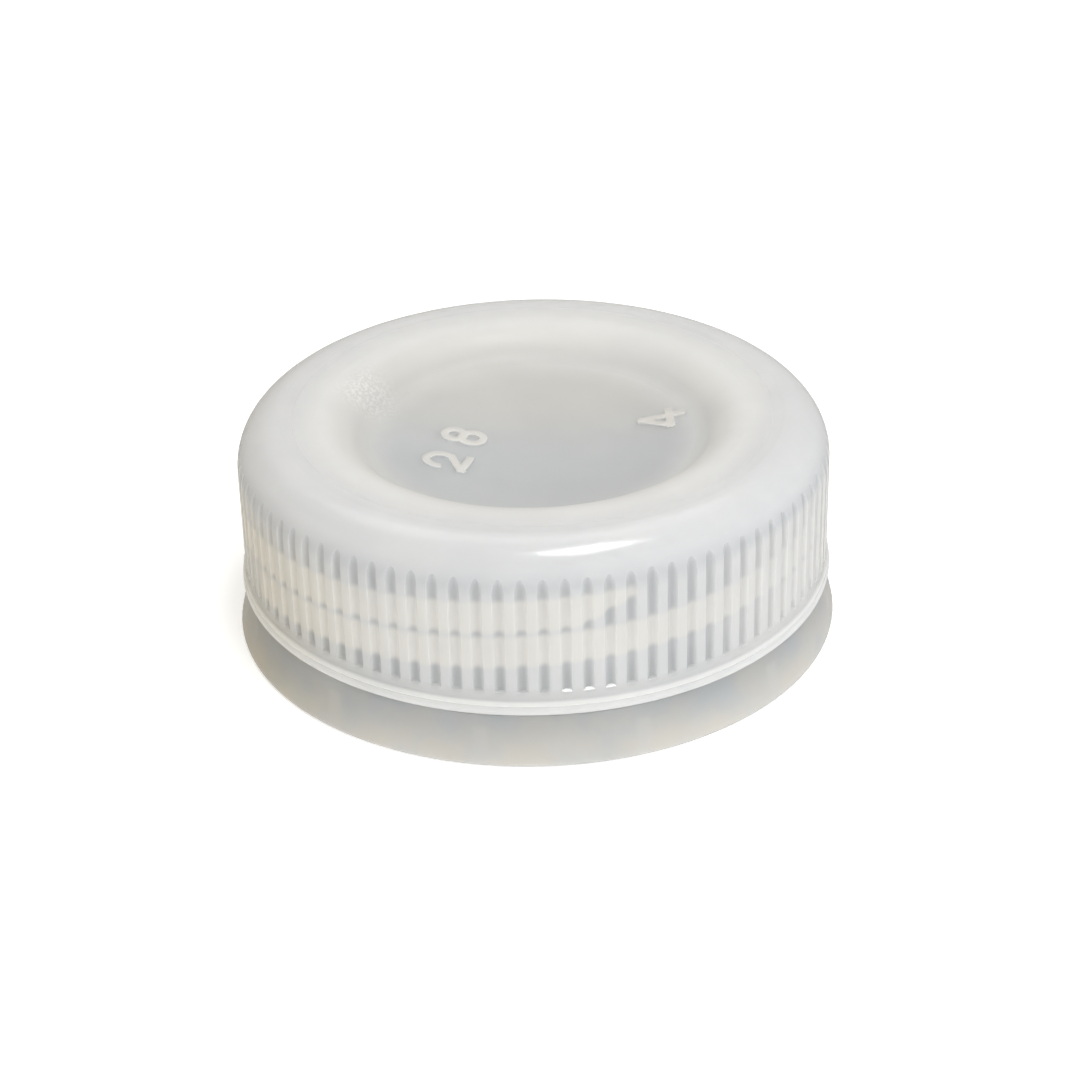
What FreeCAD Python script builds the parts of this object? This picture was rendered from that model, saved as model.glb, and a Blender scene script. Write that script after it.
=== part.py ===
"""Screw closure with a tamper-evident band, for a 48 mm three-start bottle neck.

Millimetres, +Z up. The origin is the centre of the tamper band's lower rim, so the closure
stands open end down on z = 0. Angles are in degrees about +Z: 0 is the front (-Y) and they
grow towards +X.
"""

import FreeCAD
import Part
import math
import os

# Driving dimensions
BAND_HEIGHT = 4.32
BRIDGE_HEIGHT = 0.28
CLOSURE_HEIGHT = 19.0
BEAD_R = 25.5
SKIRT_R = 25.2
SKIRT_BORE_R = 23.75

# Top: a flat ring around a dished recess, whose wall is one S curve. Slopes are from level
SHOULDER_ROUND = 3.85
RIM_INNER_R = 18.4
MOUTH_ROUND = 4.0
WALL_SLOPE = math.radians(55)
WALL_ROUND = 2.2
DISH_SLOPE = math.radians(13.5)
TOP_WALL = 1.4
FLOOR_WALL = 1.3
UNDER_ROUND = 1.9
CHANNEL_INNER_R = 17.85
CHANNEL_ROUND = 1.0

# Bead at the lower edge of the skirt: two fine ridges with a shallow valley between them
BEAD_HEIGHT = 1.0
BEAD_FLARE = 0.35
BEAD_UPPER_R = 25.42
BEAD_VALLEY_R = 25.28
BEAD_FLAT = 0.15
BEAD_ROUND = 0.28
LEAD_IN_R = 24.1
LEAD_IN_HEIGHT = 1.6

# Grip: shallow grooves between broad ribs
GROOVE_COUNT = 90
GROOVE_CUTTER_R = 0.53
GROOVE_DEPTH = 0.25
GROOVE_LEAN = 0.6
GROOVE_FOOT_Z = 6.1
GROOVE_LEDGE_Z = 6.8
GROOVE_LEDGE_SLOPE = 35.0
FIRST_GROOVE_ANGLE = 1.0

# Inner thread: three right-hand starts
THREAD_STARTS = 3
THREAD_LEAD = 9.6
THREAD_TURN = 205.0
THREAD_TOP_ANGLE = 18.0
THREAD_TOP_Z = 13.25
THREAD_REACH = 1.15
THREAD_BASE = 2.6
THREAD_CREST = 1.4
THREAD_SINK = 0.3
RUN_OUT_ANGLE = 7.0
RUN_OUT_SHARE = 0.25

# Tamper band, its retaining lugs and the bridges that hold it to the bead
BAND_TOP_R = 25.0
BAND_FOOT_R = 25.95
BAND_WALL = 0.8
BAND_ROUND = 0.35
LUG_COUNT = 12
LUG_SWEEP = 21.0
FIRST_LUG_ANGLE = -0.5
LUG_TIP_R = 23.3
LUG_FOOT_Z = 0.9
LUG_TIP_Z = 2.8
LUG_TOP_Z = 3.4
BRIDGE_COUNT = 6
BRIDGE_SWEEP = 2.6
FIRST_BRIDGE_ANGLE = -32.0
BRIDGE_INNER_R = 24.4
BRIDGE_OUTER_R = 24.95

# Sealing ring in the channel under the rim
SEAL_THICKNESS = 1.35
SEAL_CLEARANCE = 0.1
SEAL_INNER_R = 18.05
SEAL_OUTER_R = 22.9
SEAL_ROUND = 0.3

# Raised cavity numbers on the recess floor, drawn in strokes of one width
DIGIT_HEIGHT = 3.4
DIGIT_WIDTH = 2.4
DIGIT_PITCH = 5.0
DIGIT_STROKE = 0.7
DIGIT_RELIEF = 0.2
DIGIT_STOCK = 2.5
DIGIT_BEND = -35
CAVITY_NUMBERS = (("28", -7.4, -2.4, 73), ("4", 11.15, 3.1, 92))

# Places worked out from the dimensions above
SKIRT_FOOT_Z = BAND_HEIGHT + BRIDGE_HEIGHT
SHOULDER_Z = CLOSURE_HEIGHT - SHOULDER_ROUND
WALL_R = RIM_INNER_R - MOUTH_ROUND * math.sin(WALL_SLOPE)
WALL_Z = CLOSURE_HEIGHT - MOUTH_ROUND * (1 - math.cos(WALL_SLOPE))
DISH_EDGE_R = WALL_R - WALL_ROUND * (math.sin(WALL_SLOPE) - math.sin(DISH_SLOPE))
DISH_EDGE_Z = WALL_Z - WALL_ROUND * (math.cos(DISH_SLOPE) - math.cos(WALL_SLOPE))
DISH_R = DISH_EDGE_R / math.sin(DISH_SLOPE)
DISH_CENTRE_Z = DISH_EDGE_Z + DISH_R * math.cos(DISH_SLOPE)
FLOOR_Z = DISH_CENTRE_Z - DISH_R
CHANNEL_TOP_Z = CLOSURE_HEIGHT - TOP_WALL

AXIS = FreeCAD.Vector(0, 0, 1)
ORIGIN = FreeCAD.Vector(0, 0, 0)


def at(radius, z):
    """Point of a profile in the XZ plane."""
    return FreeCAD.Vector(radius, 0, z)


def turned(shape, angle):
    """Copy of a shape drawn at +X, turned so that it faces the given angle."""
    copy = shape.copy()
    copy.rotate(ORIGIN, AXIS, angle - 90)
    return copy


class Outline:
    """Closed profile of lines and quarter rounds in the XZ plane."""

    def __init__(self, radius, z):
        self.start = self.end = at(radius, z)
        self.edges = []

    def line(self, radius, z):
        self.edges.append(Part.makeLine(self.end, at(radius, z)))
        self.end = at(radius, z)
        return self

    def round(self, radius, z, centre_radius, centre_z):
        """Arc to a point about a centre, by the shorter way."""
        centre = at(centre_radius, centre_z)
        target = at(radius, z)
        middle = (self.end + target) * 0.5 - centre
        reach = (target - centre).Length
        bulge = centre + middle.normalize() * reach
        self.edges.append(Part.Arc(self.end, bulge, target).toShape())
        self.end = target
        return self

    def face(self):
        if (self.end - self.start).Length > 1e-6:
            self.edges.append(Part.makeLine(self.end, self.start))
        return Part.Face(Part.Wire(self.edges))


def full_turn(outline):
    return outline.face().revolve(ORIGIN, AXIS, 360)


def sector(outline, angle, sweep):
    """Profile turned through part of a circle, centred on an angle."""
    part_turn = outline.face().revolve(ORIGIN, AXIS, sweep)
    return turned(part_turn, angle - sweep / 2)


def dish_z(dish_r, radius):
    """Height of a sphere about the dish's centre, near its lowest point."""
    return DISH_CENTRE_Z - math.sqrt(dish_r**2 - radius**2)


def recess_line(outline):
    """The recess from its middle to the flat ring around it."""
    wall_centre_r = DISH_EDGE_R - WALL_ROUND * math.sin(DISH_SLOPE)
    wall_centre_z = DISH_EDGE_Z + WALL_ROUND * math.cos(DISH_SLOPE)
    outline.round(DISH_EDGE_R, DISH_EDGE_Z, 0, DISH_CENTRE_Z)
    outline.round(WALL_R, WALL_Z, wall_centre_r, wall_centre_z)
    outline.round(RIM_INNER_R, CLOSURE_HEIGHT, RIM_INNER_R, CLOSURE_HEIGHT - MOUTH_ROUND)


def bead_line(outline):
    """The skirt's lower edge, from the flare above the bead to the lead-in inside."""
    top_z = SKIRT_FOOT_Z + BEAD_HEIGHT
    outline.line(SKIRT_R, top_z + BEAD_FLARE)
    outline.line(BEAD_UPPER_R, top_z)
    outline.line(BEAD_UPPER_R, top_z - BEAD_FLAT)
    outline.line(BEAD_VALLEY_R, top_z - 2 * BEAD_FLAT)
    outline.line(BEAD_R, SKIRT_FOOT_Z + BEAD_ROUND + BEAD_FLAT)
    outline.line(BEAD_R, SKIRT_FOOT_Z + BEAD_ROUND)
    foot_r = BEAD_R - BEAD_ROUND
    outline.round(foot_r, SKIRT_FOOT_Z, foot_r, SKIRT_FOOT_Z + BEAD_ROUND)
    outline.line(LEAD_IN_R, SKIRT_FOOT_Z)
    lead_in_z = SKIRT_FOOT_Z + LEAD_IN_HEIGHT
    outline.line(LEAD_IN_R, lead_in_z)
    outline.line(SKIRT_BORE_R, lead_in_z + LEAD_IN_R - SKIRT_BORE_R)


def inner_line(outline):
    """The inside: skirt bore, channel for the seal and the underside of the dish."""
    channel_r = SKIRT_BORE_R - CHANNEL_ROUND
    channel_z = CHANNEL_TOP_Z - CHANNEL_ROUND
    outline.line(SKIRT_BORE_R, channel_z)
    outline.round(channel_r, CHANNEL_TOP_Z, channel_r, channel_z)
    outline.line(CHANNEL_INNER_R, CHANNEL_TOP_Z)
    under_r = CHANNEL_INNER_R - UNDER_ROUND
    under_z = dish_z(DISH_R + FLOOR_WALL, under_r)
    outline.line(CHANNEL_INNER_R, under_z + UNDER_ROUND)
    outline.round(under_r, under_z, under_r, under_z + UNDER_ROUND)
    outline.round(0, FLOOR_Z - FLOOR_WALL, 0, DISH_CENTRE_Z)


def shell_blank():
    """The closure's wall, with no thread, grooves or numbers."""
    crown_r = SKIRT_R - SHOULDER_ROUND
    outline = Outline(0, FLOOR_Z - FLOOR_WALL).line(0, FLOOR_Z)
    recess_line(outline)
    outline.line(crown_r, CLOSURE_HEIGHT)
    outline.round(SKIRT_R, SHOULDER_Z, crown_r, SHOULDER_Z)
    bead_line(outline)
    inner_line(outline)
    return full_turn(outline)


def grip_grooves():
    """Cutters for the grooves: round bars that lean in a little and end below in a ledge."""
    floor_r = SKIRT_R - GROOVE_DEPTH
    foot = at(floor_r + GROOVE_CUTTER_R, GROOVE_FOOT_Z)
    bar = Part.makeCylinder(GROOVE_CUTTER_R, CLOSURE_HEIGHT - foot.z, foot)
    bar.rotate(foot, FreeCAD.Vector(0, 1, 0), -GROOVE_LEAN)
    side = 4 * GROOVE_CUTTER_R
    block = Part.makeBox(side, side, side, FreeCAD.Vector(0, -side / 2, -side))
    block.rotate(ORIGIN, FreeCAD.Vector(0, 1, 0), GROOVE_LEDGE_SLOPE)
    block.translate(at(floor_r, GROOVE_LEDGE_Z))
    cutter = bar.cut(block)
    step = 360 / GROOVE_COUNT
    return [turned(cutter, FIRST_GROOVE_ANGLE + step * n) for n in range(GROOVE_COUNT)]


def ridge_section(share):
    """Section of a thread ridge at +X about z = 0, at a share of its full reach."""
    slope = (THREAD_BASE - THREAD_CREST) / 2 / THREAD_REACH
    crest_r = SKIRT_BORE_R - THREAD_REACH * share
    root_r = SKIRT_BORE_R + THREAD_SINK
    half_crest = THREAD_CREST / 2 * share
    half_root = half_crest + slope * (root_r - crest_r)
    corners = [
        at(root_r, -half_root),
        at(crest_r, -half_crest),
        at(crest_r, half_crest),
        at(root_r, half_root),
    ]
    return Part.makePolygon(corners + corners[:1])


def climbed(shape, turn):
    """Shape moved along the thread's helix by an angle."""
    moved = shape.copy()
    moved.rotate(ORIGIN, AXIS, turn)
    moved.translate(AXIS * (THREAD_LEAD * turn / 360))
    return moved


def thread_ridge():
    """One thread ridge from its lower end at +X and z = 0, tapered away at both ends."""
    full = ridge_section(1)
    low = ridge_section(RUN_OUT_SHARE)
    climb = THREAD_LEAD * THREAD_TURN / 360
    helix = Part.Wire(Part.makeHelix(THREAD_LEAD, climb, SKIRT_BORE_R))
    sweep = Part.BRepOffsetAPI.MakePipeShell(helix)
    sweep.setBiNormalMode(AXIS)
    sweep.add(full)
    sweep.build()
    sweep.makeSolid()
    lower_end = Part.makeLoft([climbed(low, -RUN_OUT_ANGLE), full], True, True)
    top = climbed(full, THREAD_TURN)
    beyond = climbed(low, THREAD_TURN + RUN_OUT_ANGLE)
    upper_end = Part.makeLoft([top, beyond], True, True)
    return sweep.shape().fuse([lower_end, upper_end])


def threads():
    """The three ridges, evenly spaced around the skirt."""
    ridge = thread_ridge()
    ridge.translate(AXIS * (THREAD_TOP_Z - THREAD_LEAD * THREAD_TURN / 360))
    lower_angle = THREAD_TOP_ANGLE - THREAD_TURN
    step = 360 / THREAD_STARTS
    return [turned(ridge, lower_angle + step * n) for n in range(THREAD_STARTS)]


def straight_stroke(x0, y0, x1, y1):
    """Straight bar of a digit, half a stroke longer at each end than its centre line."""
    half = DIGIT_STROKE / 2
    length = math.hypot(x1 - x0, y1 - y0) + DIGIT_STROKE
    bar = Part.makeBox(length, DIGIT_STROKE, DIGIT_STOCK, FreeCAD.Vector(-half, -half, 0))
    bar.rotate(ORIGIN, AXIS, math.degrees(math.atan2(y1 - y0, x1 - x0)))
    bar.translate(FreeCAD.Vector(x0, y0, 0))
    return bar


def curved_stroke(x, y, radius, start=0, sweep=360):
    """Curved bar of a digit about the point (x, y), anticlockwise from a start angle."""
    half = DIGIT_STROKE / 2
    bar = Part.makeCylinder(radius + half, DIGIT_STOCK, ORIGIN, AXIS, sweep)
    bar = bar.cut(Part.makeCylinder(radius - half, DIGIT_STOCK))
    bar.rotate(ORIGIN, AXIS, start)
    bar.translate(FreeCAD.Vector(x, y, 0))
    return bar


def digit_two():
    """An arch that opens to the left, a slope down to the left and a foot."""
    arch_r = DIGIT_WIDTH / 2
    arch_y = DIGIT_HEIGHT - arch_r
    bend_x = arch_r + arch_r * math.cos(math.radians(DIGIT_BEND))
    bend_y = arch_y + arch_r * math.sin(math.radians(DIGIT_BEND))
    return [
        curved_stroke(arch_r, arch_y, arch_r, DIGIT_BEND, 200 - DIGIT_BEND),
        straight_stroke(bend_x, bend_y, 0, 0),
        straight_stroke(0, 0, DIGIT_WIDTH, 0),
    ]


def digit_four():
    stem_x = 0.7 * DIGIT_WIDTH
    bar_y = 0.3 * DIGIT_HEIGHT
    return [
        straight_stroke(stem_x, 0, stem_x, DIGIT_HEIGHT),
        straight_stroke(stem_x, DIGIT_HEIGHT, 0, bar_y),
        straight_stroke(0, bar_y, DIGIT_WIDTH, bar_y),
    ]


def digit_eight():
    """Two rings that overlap a little."""
    lower_r = 0.275 * DIGIT_HEIGHT
    upper_r = 0.245 * DIGIT_HEIGHT
    return [
        curved_stroke(DIGIT_WIDTH / 2, lower_r, lower_r),
        curved_stroke(DIGIT_WIDTH / 2, DIGIT_HEIGHT - upper_r, upper_r),
    ]


DIGITS = {"2": digit_two, "4": digit_four, "8": digit_eight}


def relief_layer():
    """Room for the numbers: from inside the floor to a little above its dished surface."""
    edge_z = dish_z(DISH_R - DIGIT_RELIEF, DISH_EDGE_R)
    outline = Outline(0, FLOOR_Z - DIGIT_RELIEF).line(0, FLOOR_Z + DIGIT_RELIEF)
    outline.round(DISH_EDGE_R, edge_z, 0, DISH_CENTRE_Z)
    outline.line(DISH_EDGE_R, FLOOR_Z - DIGIT_RELIEF)
    return full_turn(outline)


def raised_digits(text, x, y, turn):
    """Digits that read along an angle from +X, the first of them centred on (x, y)."""
    layer = relief_layer()
    digits = []
    for place, digit in enumerate(text):
        first, *others = DIGITS[digit]()
        stock = first.fuse(others)
        across = place * DIGIT_PITCH - DIGIT_WIDTH / 2
        stock.translate(FreeCAD.Vector(across, -DIGIT_HEIGHT / 2, 0))
        stock.rotate(ORIGIN, AXIS, turn)
        stock.translate(FreeCAD.Vector(x, y, FLOOR_Z - DIGIT_RELIEF / 2))
        digits.append(stock.common(layer))
    return digits


def cap_shell():
    additions = threads()
    for number in CAVITY_NUMBERS:
        additions += raised_digits(*number)
    return shell_blank().fuse(additions).cut(grip_grooves())


def band_ring():
    """The thin flared ring under the bead."""
    outline = Outline(BAND_TOP_R - BAND_WALL, BAND_HEIGHT).line(BAND_TOP_R, BAND_HEIGHT)
    outline.line(BAND_FOOT_R, BAND_ROUND)
    outline.round(BAND_FOOT_R - BAND_ROUND, 0, BAND_FOOT_R - BAND_ROUND, BAND_ROUND)
    outline.line(BAND_FOOT_R - BAND_WALL, 0)
    return full_turn(outline)


def band_inner_r(z):
    lean = (BAND_FOOT_R - BAND_TOP_R) / BAND_HEIGHT
    return BAND_FOOT_R - BAND_WALL - lean * z


def retaining_lugs():
    """Wedges inside the band: sloped below, to pass the neck's bead, and flat on top."""
    root = BAND_WALL / 2
    outline = Outline(band_inner_r(LUG_FOOT_Z) + root, LUG_FOOT_Z)
    outline.line(LUG_TIP_R, LUG_TIP_Z)
    outline.line(LUG_TIP_R, LUG_TOP_Z)
    outline.line(band_inner_r(LUG_TOP_Z) + root, LUG_TOP_Z)
    step = 360 / LUG_COUNT
    return [sector(outline, FIRST_LUG_ANGLE + step * n, LUG_SWEEP) for n in range(LUG_COUNT)]


def tamper_band():
    return band_ring().fuse(retaining_lugs()).removeSplitter()


def bridge(angle):
    """Thin web from the band's upper rim to the underside of the bead."""
    outline = Outline(BRIDGE_INNER_R, BAND_HEIGHT).line(BRIDGE_OUTER_R, BAND_HEIGHT)
    outline.line(BRIDGE_OUTER_R, SKIRT_FOOT_Z).line(BRIDGE_INNER_R, SKIRT_FOOT_Z)
    return sector(outline, angle, BRIDGE_SWEEP)


def sealing_ring():
    """Flat gasket with rounded edges."""
    top = CHANNEL_TOP_Z - SEAL_CLEARANCE
    foot = top - SEAL_THICKNESS
    inner, outer = SEAL_INNER_R + SEAL_ROUND, SEAL_OUTER_R - SEAL_ROUND
    low, high = foot + SEAL_ROUND, top - SEAL_ROUND
    outline = Outline(inner, foot).line(outer, foot)
    outline.round(SEAL_OUTER_R, low, outer, low).line(SEAL_OUTER_R, high)
    outline.round(outer, top, outer, high).line(inner, top)
    outline.round(SEAL_INNER_R, high, inner, high).line(SEAL_INNER_R, low)
    outline.round(inner, foot, inner, low)
    return full_turn(outline)


def all_nodes():
    nodes = {
        "cap_shell": cap_shell(),
        "sealing_ring": sealing_ring(),
        "tamper_band": tamper_band(),
    }
    for n in range(BRIDGE_COUNT):
        nodes[f"bridge_{n + 1}"] = bridge(FIRST_BRIDGE_ANGLE + 360 / BRIDGE_COUNT * n)
    return nodes


os.makedirs("parts", exist_ok=True)
for name, shape in all_nodes().items():
    solid = shape.Solids[0] if len(shape.Solids) == 1 else shape
    solid.exportStep(f"parts/{name}.step")
    state = "valid" if shape.isValid() else "not valid"
    print(f"{name}: {len(shape.Solids)} solid, {state}, {shape.Volume / 1000:.3f} cm3")
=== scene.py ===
"""Screw closure of natural translucent polypropylene, on a plain white table."""

import math

import bpy
from mathutils import Matrix, Vector


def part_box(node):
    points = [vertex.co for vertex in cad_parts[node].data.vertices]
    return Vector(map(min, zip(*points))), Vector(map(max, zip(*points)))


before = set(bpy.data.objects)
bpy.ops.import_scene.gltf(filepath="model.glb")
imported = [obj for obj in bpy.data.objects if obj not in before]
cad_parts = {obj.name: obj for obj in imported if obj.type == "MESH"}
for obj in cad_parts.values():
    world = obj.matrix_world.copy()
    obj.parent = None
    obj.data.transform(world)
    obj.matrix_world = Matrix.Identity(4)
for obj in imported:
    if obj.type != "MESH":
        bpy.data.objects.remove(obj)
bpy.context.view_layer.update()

# Places read from the frame, in metres
SHELL_LOW, SHELL_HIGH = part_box("cap_shell")
BAND_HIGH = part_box("tamper_band")[1]
TOP_Z = SHELL_HIGH.z
SHELL_R = SHELL_HIGH.x
AIM = Vector((0, 0, SHELL_LOW.z))

# Camera: distance in widths of the closure, angles in degrees, lens and sensor in millimetres
CAMERA_WIDTHS = 4.5
CAMERA_ELEVATION = 30.06
CAMERA_ROLL = -1.47
CAMERA_LIFT = 0.42
LENS_MM = 88.1
SENSOR_MM = 36

# The closure's wall, in metres
SKIRT_R = SHELL_R - 0.0003
SHOULDER_Z = TOP_Z - 0.0040
RECESS_DEPTH = 0.00422
RECESS_R = 0.0174
DISH_R = 0.05926
NUMBER_REACH = 0.0138
BEAD_Z = SHELL_LOW.z + 0.0011
LEDGE_Z = 0.0067

# Where each tone of the wall starts and where it is full: metres from a radius or a height
OUTSIDE_FROM_SKIRT = (-0.0013, -0.0009)
SKIRT_FROM_SHOULDER = (0.0012, -0.0002)
SHOULDER_FROM_TOP = (-0.0008, -0.0030)
BEAD_FROM_BEAD_TOP = (0.00022, 0.0)
LEDGE_FROM_LEDGE_TOP = (0.0003, 0.0)
WALL_FROM_RECESS = (0.0016, -0.0016)
EDGE_FROM_RECESS = (-0.0005, -0.0030)
FLOOR_FROM_RECESS = (-0.0010, -0.0062)
LIP_FROM_RECESS = (0.0040, 0.0014)
DULL_FROM_RECESS = (0.0046, 0.0006)
NUMBERS_FROM_REACH = (0.0001, -0.0001)
NUMBERS_FROM_DISH = (0.00009, 0.00018)
# The painted shade on the left side fades out between these heights below the top face
PAINTED_SHADE_FROM_TOP = (-0.0010, -0.0060)

# The same for painted light and shade that change across the closure: places along x and along y,
# in metres. The recess gets painted light towards its right, and its floor painted shade at the
# front and painted light at the back
RECESS_PAINTED_LIGHT_SPAN = (-0.012, 0.014)
FLOOR_PAINTED_LIGHT_SPAN = (-0.002, 0.010)

# And places along x, in shares of the closure's radius: where the painted light on the skirt's
# right side and the painted shade on the left side start and are full
PAINTED_LIGHT_SKIRT_RIGHT = (0.42, 0.80)
PAINTED_SHADE_LEFT = (-0.45, -1.0)

# Grip grooves: how the thin wall behind them darkens, in metres and degrees
GROOVE_COUNT = 90
GROOVE_ANGLE = 1.0
GROOVE_CORE = 0.25
GROOVE_EDGE = 1.45
GROOVE_FOOT_Z = 0.0062
GROOVE_FOOT_FADE = 0.0008
GROOVE_LOW_Z = (0.0092, 0.0076)
GROOVE_TOP_Z = 0.0168
GROOVE_TIP = 0.0012

# The inner thread, as it shows through the skirt, in metres and degrees. THREAD_EDGE is how far
# from the middle of a ridge its tone starts and is full.
THREAD_LEAD = 0.0096
THREAD_STARTS = 3
THREAD_TOP_DEPTH = 0.00485
THREAD_TOP_ANGLE = 18.0
THREAD_TURN = 205.0
THREAD_EDGE = (0.00169, 0.00104)
THREAD_TAPER = 12.0
THREAD_TOP_FADE = 0.5
THREAD_FOOT_FADE = 3.0

# The band, and the lugs that show through it: an edge in degrees, heights in metres
LUG_COUNT = 12
LUG_ANGLE = -11.0
LUG_EDGE = (2.2, 0.6)
LUG_TOP_Z = (0.0036, 0.0030)
# Painted shade under the bead: the band is darkest at the top and lightens down to the foot,
# where painted light from the floor stands in
BAND_SHADE_Z = (0.85 * BAND_HIGH.z, 0.0002)
# Painted highlight along the band's foot edge
BAND_FOOT_HIGHLIGHT_Z = (0.00035, 0.00015)

# A scuffed place on the recess's wall, in metres
SCUFF_PLACE = (-0.0154, 0.0066)
SCUFF_FADE = (0.0046, 0.00092)

# Noise: repeats in each metre, and the range of its values that counts
SKIN_NOISE = 900.0
CLOUD_NOISE, CLOUD_RANGE = 120.0, (0.3, 0.7)
PATCH_NOISE, PATCH_RANGE = 260.0, (0.35, 0.65)
SCUFF_NOISE, SCUFF_RANGE = 3600.0, (0.46, 0.60)
CELL_NOISE = 2500.0

# Colours of the plastic, as linear red, green and blue
WHITE = (1, 1, 1)
THICK = (0.77, 0.775, 0.785)
SHOULDER = (0.568, 0.583, 0.60)
RIB = (0.635, 0.645, 0.65)
GROOVE = (0.595, 0.61, 0.622)
GROOVE_LOW = (0.55, 0.565, 0.575)
# Painted light: the skirt's right side lighter, as if lit from the right
SKIRT_RIGHT_PAINTED_LIGHT = (0.70, 0.70, 0.69)
THREAD = (0.702, 0.692, 0.662)
# Lighter where the thread shows through a groove's thin wall, and painted light that evens out
# the grooves' shade
THREAD_THIN_AND_PAINTED_LIGHT = (0.78, 0.768, 0.736)
LIP = (0.80, 0.80, 0.79)
# Painted shade and light in the recess: its wall and edge darker and warmer on the left and
# lighter on the right, its floor darker at the front and lighter at the back
WALL_PAINTED_SHADE_LEFT = (0.672, 0.664, 0.638)
WALL_PAINTED_LIGHT_RIGHT = (0.725, 0.725, 0.71)
EDGE_PAINTED_SHADE_LEFT = (0.70, 0.69, 0.66)
EDGE_PAINTED_LIGHT_RIGHT = (0.76, 0.765, 0.76)
FLOOR_PAINTED_SHADE_FRONT = (0.56, 0.58, 0.593)
FLOOR_PAINTED_LIGHT_BACK = (0.605, 0.60, 0.58)
SCUFF = (0.88, 0.87, 0.84)
RAISED = (0.73, 0.715, 0.68)
LEDGE = (0.52, 0.52, 0.51)
BEAD = (0.83, 0.83, 0.815)
BAND_TOP_PAINTED_SHADE = (0.585, 0.595, 0.605)
BAND_FOOT = (0.71, 0.705, 0.685)
BAND_COOL = (0.95, 0.97, 0.985)
BAND_WARM = (1.015, 0.995, 0.96)
CLOUD = (0.95, 0.95, 0.96)

# Painted shade: colour the left side is multiplied by, so it looks darker and warmer there
LEFT_PAINTED_SHADE = (0.95, 0.91, 0.83)
BAND_LEFT_PAINTED_SHADE = (0.88, 0.85, 0.78)

# How much of its colour each tone gives
# Share of the painted light on the skirt's right side
PAINTED_LIGHT_RIGHT_SHARE = 0.85
THREAD_SHARE = 0.9
LEDGE_SHARE = 0.2
SCUFF_SHARE = 0.6
LUG_SHARE = 0.35
BAND_FOOT_HIGHLIGHT_SHARE = 0.6

# How light passes the plastic and leaves its skin: depths in metres
SHELL_DEPTH = 0.0040
BAND_DEPTH = 0.0015
SHELL_CLEAR = 0.10
THIN_CLEAR = 0.08
BAND_CLEAR = 0.3
SHELL_ROUGHNESS = 0.16
DULL_ROUGHNESS = 0.30
LEDGE_POLISH = 0.10
BAND_ROUGHNESS = 0.18

# Colours of the sealing ring's foam, between its cells and on them
FOAM_DARK = (0.80, 0.80, 0.78)
FOAM_LIGHT = (0.90, 0.90, 0.88)

# Colour of the studio's walls, from the left to the right
LEFT_WALL = (0.42, 0.385, 0.315)
RIGHT_WALL = (0.57, 0.57, 0.57)


class Recipe:
    """Builds the node tree of a material or a world, a node at a time."""

    def __init__(self, owner, coordinates="Object"):
        owner.use_nodes = True
        self.owner = owner
        self.tree = owner.node_tree
        self.tree.nodes.clear()
        self.place = self.node("ShaderNodeTexCoord").outputs[coordinates]
        split = self.node("ShaderNodeSeparateXYZ", {"Vector": self.place})
        self.x, self.y, self.z = split.outputs

    def node(self, kind, inputs=None, **settings):
        made = self.tree.nodes.new(kind)
        for key, value in settings.items():
            setattr(made, key, value)
        for key, value in (inputs or {}).items():
            self.feed(made.inputs[key], value)
        return made

    def feed(self, socket, value):
        if isinstance(value, bpy.types.NodeSocket):
            self.tree.links.new(value, socket)
        elif socket.type == "RGBA":
            socket.default_value = (*value, 1)
        else:
            socket.default_value = value

    def math(self, operation, *values):
        inputs = dict(enumerate(values))
        return self.node("ShaderNodeMath", inputs, operation=operation).outputs[0]

    def plus(self, first, second):
        return self.math("ADD", first, second)

    def minus(self, first, second):
        return self.math("SUBTRACT", first, second)

    def times(self, first, second):
        return self.math("MULTIPLY", first, second)

    def length(self, first, second):
        """Length of the flat vector that has these two parts."""
        squares = [self.math("POWER", part, 2.0) for part in (first, second)]
        return self.math("SQRT", self.plus(*squares))

    def ramp(self, value, low, high):
        """0 at low, 1 at high and smooth between them. low may be the larger."""
        inputs = {"Value": value, "From Min": low, "From Max": high}
        made = self.node("ShaderNodeMapRange", inputs, interpolation_type="SMOOTHSTEP")
        return made.outputs["Result"]

    def tone(self, value, base, span):
        """Ramp between two distances from a base."""
        return self.ramp(value, base + span[0], base + span[1])

    def mix(self, share, first, second, blend="MIX"):
        """Colour between two colours."""
        made = self.node("ShaderNodeMix", data_type="RGBA", blend_type=blend)
        for socket in made.inputs:
            if socket.enabled and socket.name in ("Factor", "A", "B"):
                value = {"Factor": share, "A": first, "B": second}[socket.name]
                self.feed(socket, value)
        return next(socket for socket in made.outputs if socket.enabled)

    def tinted(self, colour, tint):
        return self.mix(1.0, colour, tint, "MULTIPLY")

    def noise(self, scale, detail=2.0):
        inputs = {"Vector": self.place, "Scale": scale, "Detail": detail}
        return self.node("ShaderNodeTexNoise", inputs).outputs["Fac"]

    def bump(self, height, strength, distance):
        inputs = {"Height": height, "Strength": strength, "Distance": distance}
        return self.node("ShaderNodeBump", inputs).outputs["Normal"]

    def moulded_skin(self):
        """Faint unevenness of a moulded surface."""
        return self.bump(self.noise(SKIN_NOISE), strength=0.25, distance=0.00004)

    def finish(self, inputs):
        skin = self.node("ShaderNodeBsdfPrincipled", inputs)
        self.node("ShaderNodeOutputMaterial", {"Surface": skin.outputs["BSDF"]})
        return self.owner


def material_recipe(name):
    return Recipe(bpy.data.materials.new(name))


def milky(depth):
    """Inputs of a plastic in which light wanders about `depth` metres."""
    return {
        "IOR": 1.49,
        "Subsurface Weight": 1.0,
        "Subsurface Scale": depth,
        "Subsurface Radius": (1.0, 0.96, 0.92),
        "Subsurface Anisotropy": 0.4,
    }


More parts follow.
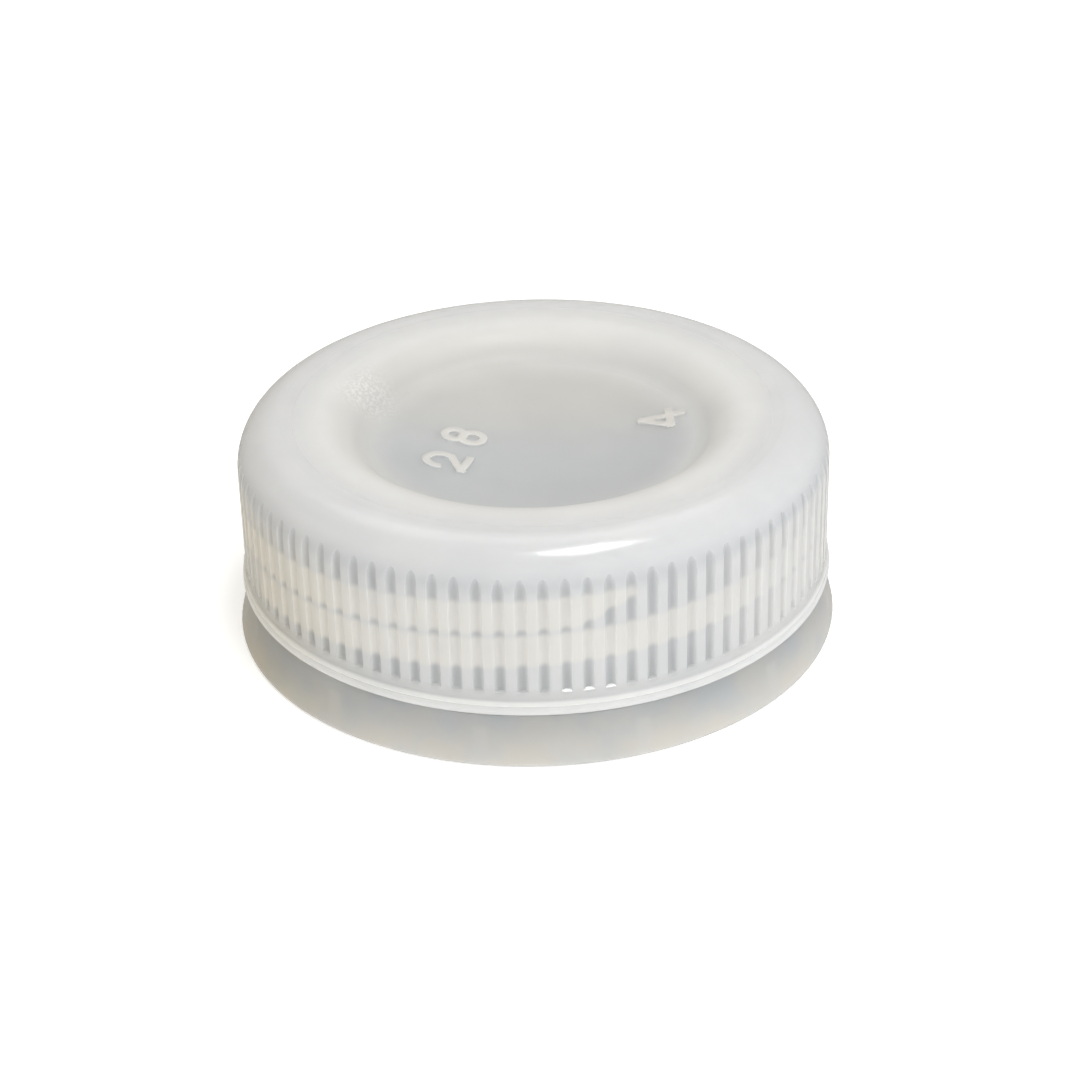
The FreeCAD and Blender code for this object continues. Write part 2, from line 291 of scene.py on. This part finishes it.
def turn_angle(recipe):
    """Degrees about the closure's axis from its front, growing towards the right."""
    turn = recipe.math("ARCTAN2", recipe.x, recipe.times(recipe.y, -1.0))
    return recipe.times(turn, 180 / math.pi)


def from_nearest(recipe, angle, count):
    """Degrees to the nearest of `count` evenly spaced places, the first of them at `angle`."""
    half_step = 180 / count
    off = recipe.minus(turn_angle(recipe), angle)
    return recipe.math("ABSOLUTE", recipe.math("WRAP", off, half_step, -half_step))


def thread_mask(recipe):
    """1 where a thread ridge lies at this angle and height, softly edged."""
    rise = recipe.minus(recipe.z, TOP_Z - THREAD_TOP_DEPTH)
    climb = recipe.times(rise, 360 / THREAD_LEAD)
    ahead = recipe.minus(recipe.minus(turn_angle(recipe), THREAD_TOP_ANGLE), climb)
    half_step = 180 / THREAD_STARTS
    off = recipe.math("WRAP", ahead, half_step, -half_step)
    along = recipe.plus(climb, off)
    above = recipe.times(off, -THREAD_LEAD / 360)
    outer, inner = THREAD_EDGE
    taper = recipe.ramp(along, -THREAD_TAPER, 0.0)
    from_foot = recipe.minus(above, recipe.times(taper, outer))
    ridge = recipe.times(recipe.ramp(above, outer, inner), recipe.ramp(from_foot, -outer, -inner))
    before_end = recipe.tone(along, 0.0, (THREAD_TOP_FADE, -THREAD_TOP_FADE))
    after_start = recipe.tone(along, -THREAD_TURN, (-THREAD_FOOT_FADE, THREAD_FOOT_FADE))
    return recipe.times(ridge, recipe.times(before_end, after_start))


def lug_edges(recipe):
    """1 along one edge of each retaining lug, where it shows through the band."""
    near = from_nearest(recipe, LUG_ANGLE, LUG_COUNT)
    return recipe.times(recipe.ramp(near, *LUG_EDGE), recipe.ramp(recipe.z, *LUG_TOP_Z))


def groove_mask(recipe):
    """1 along the middle of each grip groove, narrowing to nothing at its top."""
    near = from_nearest(recipe, GROOVE_ANGLE, GROOVE_COUNT)
    tip = recipe.tone(recipe.z, GROOVE_TOP_Z, (-GROOVE_TIP, 0.0))
    near = recipe.plus(near, recipe.times(tip, GROOVE_EDGE))
    foot = recipe.tone(recipe.z, GROOVE_FOOT_Z, (0.0, GROOVE_FOOT_FADE))
    return recipe.times(recipe.ramp(near, GROOVE_EDGE, GROOVE_CORE), foot)


def scuff_mask(recipe):
    """1 in the fine light specks of the scuffed place, fewer away from its middle."""
    offs = [recipe.minus(*pair) for pair in zip((recipe.x, recipe.y), SCUFF_PLACE)]
    near = recipe.ramp(recipe.length(*offs), *SCUFF_FADE)
    return recipe.times(near, recipe.ramp(recipe.noise(SCUFF_NOISE, 1.0), *SCUFF_RANGE))


def number_mask(recipe, radius):
    """1 on the raised digits, which stand above the floor's dish."""
    dish = recipe.times(recipe.math("POWER", radius, 2.0), 0.5 / DISH_R)
    above = recipe.minus(recipe.minus(recipe.z, TOP_Z - RECESS_DEPTH), dish)
    raised = recipe.ramp(above, *NUMBERS_FROM_DISH)
    return recipe.times(raised, recipe.tone(radius, NUMBER_REACH, NUMBERS_FROM_REACH))


def shell_masks(recipe):
    """Where the closure's wall is thin or thick, its parts, and the skirt's right side that gets
    painted light, as 0 to 1 over its surface.
    """
    radius = recipe.length(recipe.x, recipe.y)
    outside = recipe.tone(radius, SKIRT_R, OUTSIDE_FROM_SKIRT)
    skirt = recipe.times(outside, recipe.tone(recipe.z, SHOULDER_Z, SKIRT_FROM_SHOULDER))
    groove = recipe.times(outside, groove_mask(recipe))
    right = recipe.ramp(recipe.x, *(share * SHELL_R for share in PAINTED_LIGHT_SKIRT_RIGHT))
    return {
        "shoulder": recipe.tone(recipe.z, TOP_Z, SHOULDER_FROM_TOP),
        "skirt": skirt,
        "groove": groove,
        "groove_low": recipe.times(groove, recipe.ramp(recipe.z, *GROOVE_LOW_Z)),
        # Painted light on the skirt's right side
        "right": recipe.times(skirt, right),
        "thread": recipe.times(skirt, thread_mask(recipe)),
        "ledge": recipe.times(outside, recipe.tone(recipe.z, LEDGE_Z, LEDGE_FROM_LEDGE_TOP)),
        "bead": recipe.tone(recipe.z, BEAD_Z, BEAD_FROM_BEAD_TOP),
        "lip": recipe.tone(radius, RECESS_R, LIP_FROM_RECESS),
        "dull": recipe.tone(radius, RECESS_R, DULL_FROM_RECESS),
        "wall": recipe.tone(radius, RECESS_R, WALL_FROM_RECESS),
        "edge": recipe.tone(radius, RECESS_R, EDGE_FROM_RECESS),
        "floor": recipe.tone(radius, RECESS_R, FLOOR_FROM_RECESS),
        "raised": number_mask(recipe, radius),
    }


def clouded_and_shaded(recipe, colour, left_shade):
    """Colour with the uneven milkiness of natural plastic, and painted shade that makes its left
    side darker and warmer.
    """
    share = recipe.ramp(recipe.noise(CLOUD_NOISE, 3.0), *CLOUD_RANGE)
    colour = recipe.tinted(colour, recipe.mix(share, CLOUD, WHITE))
    # Painted shade on the left side, stopping short of the top face
    side = recipe.ramp(recipe.x, *(share * SHELL_R for share in PAINTED_SHADE_LEFT))
    side = recipe.times(side, recipe.tone(recipe.z, TOP_Z, PAINTED_SHADE_FROM_TOP))
    return recipe.tinted(colour, recipe.mix(side, WHITE, left_shade))


def skirt_colour(recipe, mask):
    """The outside, from the shoulder down to the bead, with painted light on the skirt's right
    side and in the grooves over the thread.
    """
    colour = recipe.mix(mask["shoulder"], THICK, SHOULDER)
    colour = recipe.mix(mask["skirt"], colour, RIB)
    colour = recipe.mix(mask["groove"], colour, GROOVE)
    colour = recipe.mix(mask["groove_low"], colour, GROOVE_LOW)
    # Grooves over the thread: lighter for their thin wall, and painted light that evens out their
    # shade
    thread = recipe.mix(mask["groove"], THREAD, THREAD_THIN_AND_PAINTED_LIGHT)
    colour = recipe.mix(recipe.times(mask["thread"], THREAD_SHARE), colour, thread)
    # Painted light: the skirt lighter on its right side
    colour = recipe.mix(recipe.times(mask["right"], PAINTED_LIGHT_RIGHT_SHARE), colour, SKIRT_RIGHT_PAINTED_LIGHT)
    colour = recipe.mix(recipe.times(mask["ledge"], LEDGE_SHARE), colour, LEDGE)
    return recipe.mix(mask["bead"], colour, BEAD)


def recess_colour(recipe, mask, colour):
    """The same colour with the recess in it, from its lip down to its floor, with painted light
    on its right and at the back of its floor and painted shade at the front of its floor.
    """
    # Painted light towards the right of the recess and the back of its floor, painted shade at
    # its front
    right = recipe.ramp(recipe.x, *RECESS_PAINTED_LIGHT_SPAN)
    back = recipe.ramp(recipe.y, *FLOOR_PAINTED_LIGHT_SPAN)
    wall = recipe.mix(right, WALL_PAINTED_SHADE_LEFT, WALL_PAINTED_LIGHT_RIGHT)
    edge = recipe.mix(right, EDGE_PAINTED_SHADE_LEFT, EDGE_PAINTED_LIGHT_RIGHT)
    floor = recipe.mix(back, FLOOR_PAINTED_SHADE_FRONT, FLOOR_PAINTED_LIGHT_BACK)
    colour = recipe.mix(mask["lip"], colour, LIP)
    colour = recipe.mix(mask["wall"], colour, wall)
    colour = recipe.mix(mask["edge"], colour, edge)
    colour = recipe.mix(mask["floor"], colour, floor)
    scuff = recipe.times(scuff_mask(recipe), mask["wall"])
    colour = recipe.mix(recipe.times(scuff, SCUFF_SHARE), colour, SCUFF)
    return recipe.mix(mask["raised"], colour, RAISED)


def shell_plastic():
    """Natural polypropylene: whiter where the wall is thick, greyer and clearer where thin."""
    recipe = material_recipe("natural_pp")
    mask = shell_masks(recipe)
    colour = recess_colour(recipe, mask, skirt_colour(recipe, mask))
    thin = recipe.math("MAXIMUM", mask["groove"], mask["floor"])
    thick = recipe.math("MAXIMUM", mask["thread"], mask["raised"])
    thin = recipe.times(thin, recipe.minus(1.0, thick))
    rough = recipe.plus(recipe.times(mask["dull"], DULL_ROUGHNESS), SHELL_ROUGHNESS)
    surface = {
        "Base Color": clouded_and_shaded(recipe, colour, LEFT_PAINTED_SHADE),
        "Transmission Weight": recipe.plus(recipe.times(thin, THIN_CLEAR), SHELL_CLEAR),
        "Roughness": recipe.minus(rough, recipe.times(mask["ledge"], LEDGE_POLISH)),
        "Normal": recipe.moulded_skin(),
    }
    return recipe.finish({**milky(SHELL_DEPTH), **surface})


def band_plastic():
    """The same plastic in a thin ring, so it is greyer and more see-through, with painted shade
    under the bead and a painted highlight along its foot.
    """
    recipe = material_recipe("natural_pp_thin")
    # Painted shade under the bead, fading to painted light at the foot
    colour = recipe.mix(recipe.ramp(recipe.z, *BAND_SHADE_Z), BAND_TOP_PAINTED_SHADE, BAND_FOOT)
    patch = recipe.ramp(recipe.noise(PATCH_NOISE, 3.0), *PATCH_RANGE)
    colour = recipe.tinted(colour, recipe.mix(patch, BAND_COOL, BAND_WARM))
    colour = recipe.mix(recipe.times(lug_edges(recipe), LUG_SHARE), colour, BAND_FOOT)
    # Painted highlight along the foot edge
    foot_highlight = recipe.times(recipe.ramp(recipe.z, *BAND_FOOT_HIGHLIGHT_Z), BAND_FOOT_HIGHLIGHT_SHARE)
    surface = {
        "Base Color": clouded_and_shaded(recipe, recipe.mix(foot_highlight, colour, BEAD), BAND_LEFT_PAINTED_SHADE),
        "Transmission Weight": BAND_CLEAR,
        "Roughness": BAND_ROUGHNESS,
        "Normal": recipe.moulded_skin(),
    }
    return recipe.finish({**milky(BAND_DEPTH), **surface})


def seal_foam():
    """Closed-cell foam: matt white with fine cells."""
    recipe = material_recipe("seal_foam")
    cells = recipe.noise(CELL_NOISE, 1.0)
    surface = {
        "Base Color": recipe.mix(cells, FOAM_DARK, FOAM_LIGHT),
        "Roughness": 0.9,
        "Normal": recipe.bump(cells, strength=0.5, distance=0.0001),
    }
    return recipe.finish(surface)


def dress(node, material):
    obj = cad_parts[node]
    obj.data.materials.clear()
    obj.data.materials.append(material)


def make_floor():
    """White ground that shows up neither in reflections nor through the plastic."""
    bpy.ops.mesh.primitive_plane_add(size=6)
    floor = bpy.context.object
    floor.name = "floor"
    white = {
        "Base Color": (0.9, 0.9, 0.9),
        "Roughness": 0.9,
        "Emission Color": WHITE,
        "Emission Strength": 0.35,
    }
    floor.data.materials.append(material_recipe("floor_white").finish(white))
    floor.visible_glossy = False
    floor.visible_transmission = False


def make_camera():
    elevation = math.radians(CAMERA_ELEVATION)
    distance = CAMERA_WIDTHS * (SHELL_HIGH.x - SHELL_LOW.x)
    offset = Vector((0, -math.cos(elevation), math.sin(elevation))) * distance
    data = bpy.data.cameras.new("camera")
    data.lens = LENS_MM
    data.sensor_width = SENSOR_MM
    data.clip_start = 0.01
    camera = bpy.data.objects.new("camera", data)
    bpy.context.scene.collection.objects.link(camera)
    level = (-offset).to_track_quat("-Z", "Y").to_matrix().to_4x4()
    lift = Matrix.Rotation(math.radians(CAMERA_LIFT), 4, "X")
    roll = Matrix.Rotation(math.radians(CAMERA_ROLL), 4, "Z")
    camera.matrix_world = Matrix.Translation(AIM + offset) @ level @ roll @ lift
    bpy.context.scene.camera = camera


def area_light(name, place, size, radiance, colour=WHITE, shiny=True):
    """Soft rectangle aimed at the closure, in metres from its foot. shiny: seen in gloss."""
    data = bpy.data.lights.new(name, "AREA")
    data.shape = "RECTANGLE"
    data.size, data.size_y = size
    data.energy = math.pi * radiance * size[0] * size[1]
    data.color = colour
    light = bpy.data.objects.new(name, data)
    light.location = AIM + Vector(place)
    light.rotation_euler = (-Vector(place)).to_track_quat("-Z", "Y").to_euler()
    light.visible_glossy = shiny
    bpy.context.scene.collection.objects.link(light)


def make_lights():
    area_light("softbox", place=(0.092, -0.065, 0.49), size=(0.19, 0.14), radiance=11.0)
    area_light("top_back", place=(-0.03, 0.26, 0.45), size=(0.45, 0.22), radiance=1.0)
    cool = (0.97, 0.985, 1.0)
    area_light("key", (0.08, -0.45, 0.30), (0.5, 0.4), radiance=2.2, colour=cool, shiny=False)


def make_world():
    """Plain walls, dimmer and warmer on the left."""
    world = bpy.data.worlds.new("studio")
    recipe = Recipe(world, "Generated")
    from_left = recipe.math("MULTIPLY_ADD", recipe.x, 0.5, 0.5)
    walls = {"Color": recipe.mix(from_left, LEFT_WALL, RIGHT_WALL)}
    background = recipe.node("ShaderNodeBackground", walls).outputs["Background"]
    recipe.node("ShaderNodeOutputWorld", {"Surface": background})
    bpy.context.scene.world = world


bpy.context.scene.view_settings.view_transform = "Standard"
make_camera()
make_world()
make_lights()
make_floor()
dress("cap_shell", shell_plastic())
dress("sealing_ring", seal_foam())
thin_plastic = band_plastic()
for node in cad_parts:
    if node.startswith(("tamper_band", "bridge_")):
        dress(node, thin_plastic)
